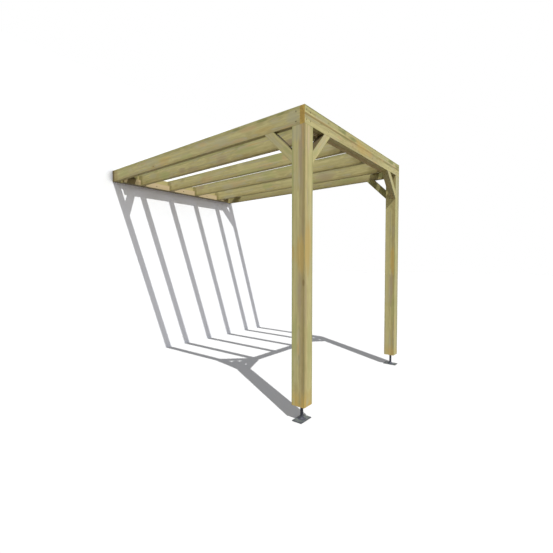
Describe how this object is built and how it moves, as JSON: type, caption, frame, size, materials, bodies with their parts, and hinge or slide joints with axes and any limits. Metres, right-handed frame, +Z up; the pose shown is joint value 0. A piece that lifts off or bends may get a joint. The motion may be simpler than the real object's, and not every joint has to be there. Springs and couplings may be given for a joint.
{
  "type": "lean-to pergola",
  "caption": "Open timber lean-to pergola: a flat beam frame with rafters, bolted to a wall at the back and standing on two braced posts with steel feet at the front.",
  "frame": {"origin": "middle of the wall beam's flat back face", "axes": "+Z up, +Y towards the wall, +X to the right seen from the front"},
  "size_m": [2.19, 3.03, 2.515],
  "materials": {
    "beam_timber": "planed softwood, pressure treated, satin",
    "post_timber": "planed softwood, pressure treated, satin",
    "brace_timber": "planed softwood, pressure treated, satin",
    "ledger_timber": "planed softwood, pressure treated, satin",
    "foot_steel": "dark galvanised and painted, satin"
  },
  "bodies": {
    "root": {"wall_beam": "ledger_timber", "wall_ledger": "ledger_timber", "front_beam": "beam_timber", "front_ledger": "ledger_timber", "left_side_beam": "beam_timber", "right_side_beam": "beam_timber", "left_outer_rafter": "beam_timber", "left_inner_rafter": "beam_timber", "right_inner_rafter": "beam_timber", "right_outer_rafter": "beam_timber", "left_post": "post_timber", "right_post": "post_timber", "left_side_knee_brace": "brace_timber", "right_side_knee_brace": "brace_timber", "left_front_knee_brace": "brace_timber", "right_front_knee_brace": "brace_timber", "front_left_corner_brace": "brace_timber", "front_right_corner_brace": "brace_timber", "wall_left_corner_brace": "brace_timber", "wall_right_corner_brace": "brace_timber", "left_foot_plate": "foot_steel", "right_foot_plate": "foot_steel", "left_foot_stem": "foot_steel", "right_foot_stem": "foot_steel"}
  },
  "joints": []
}
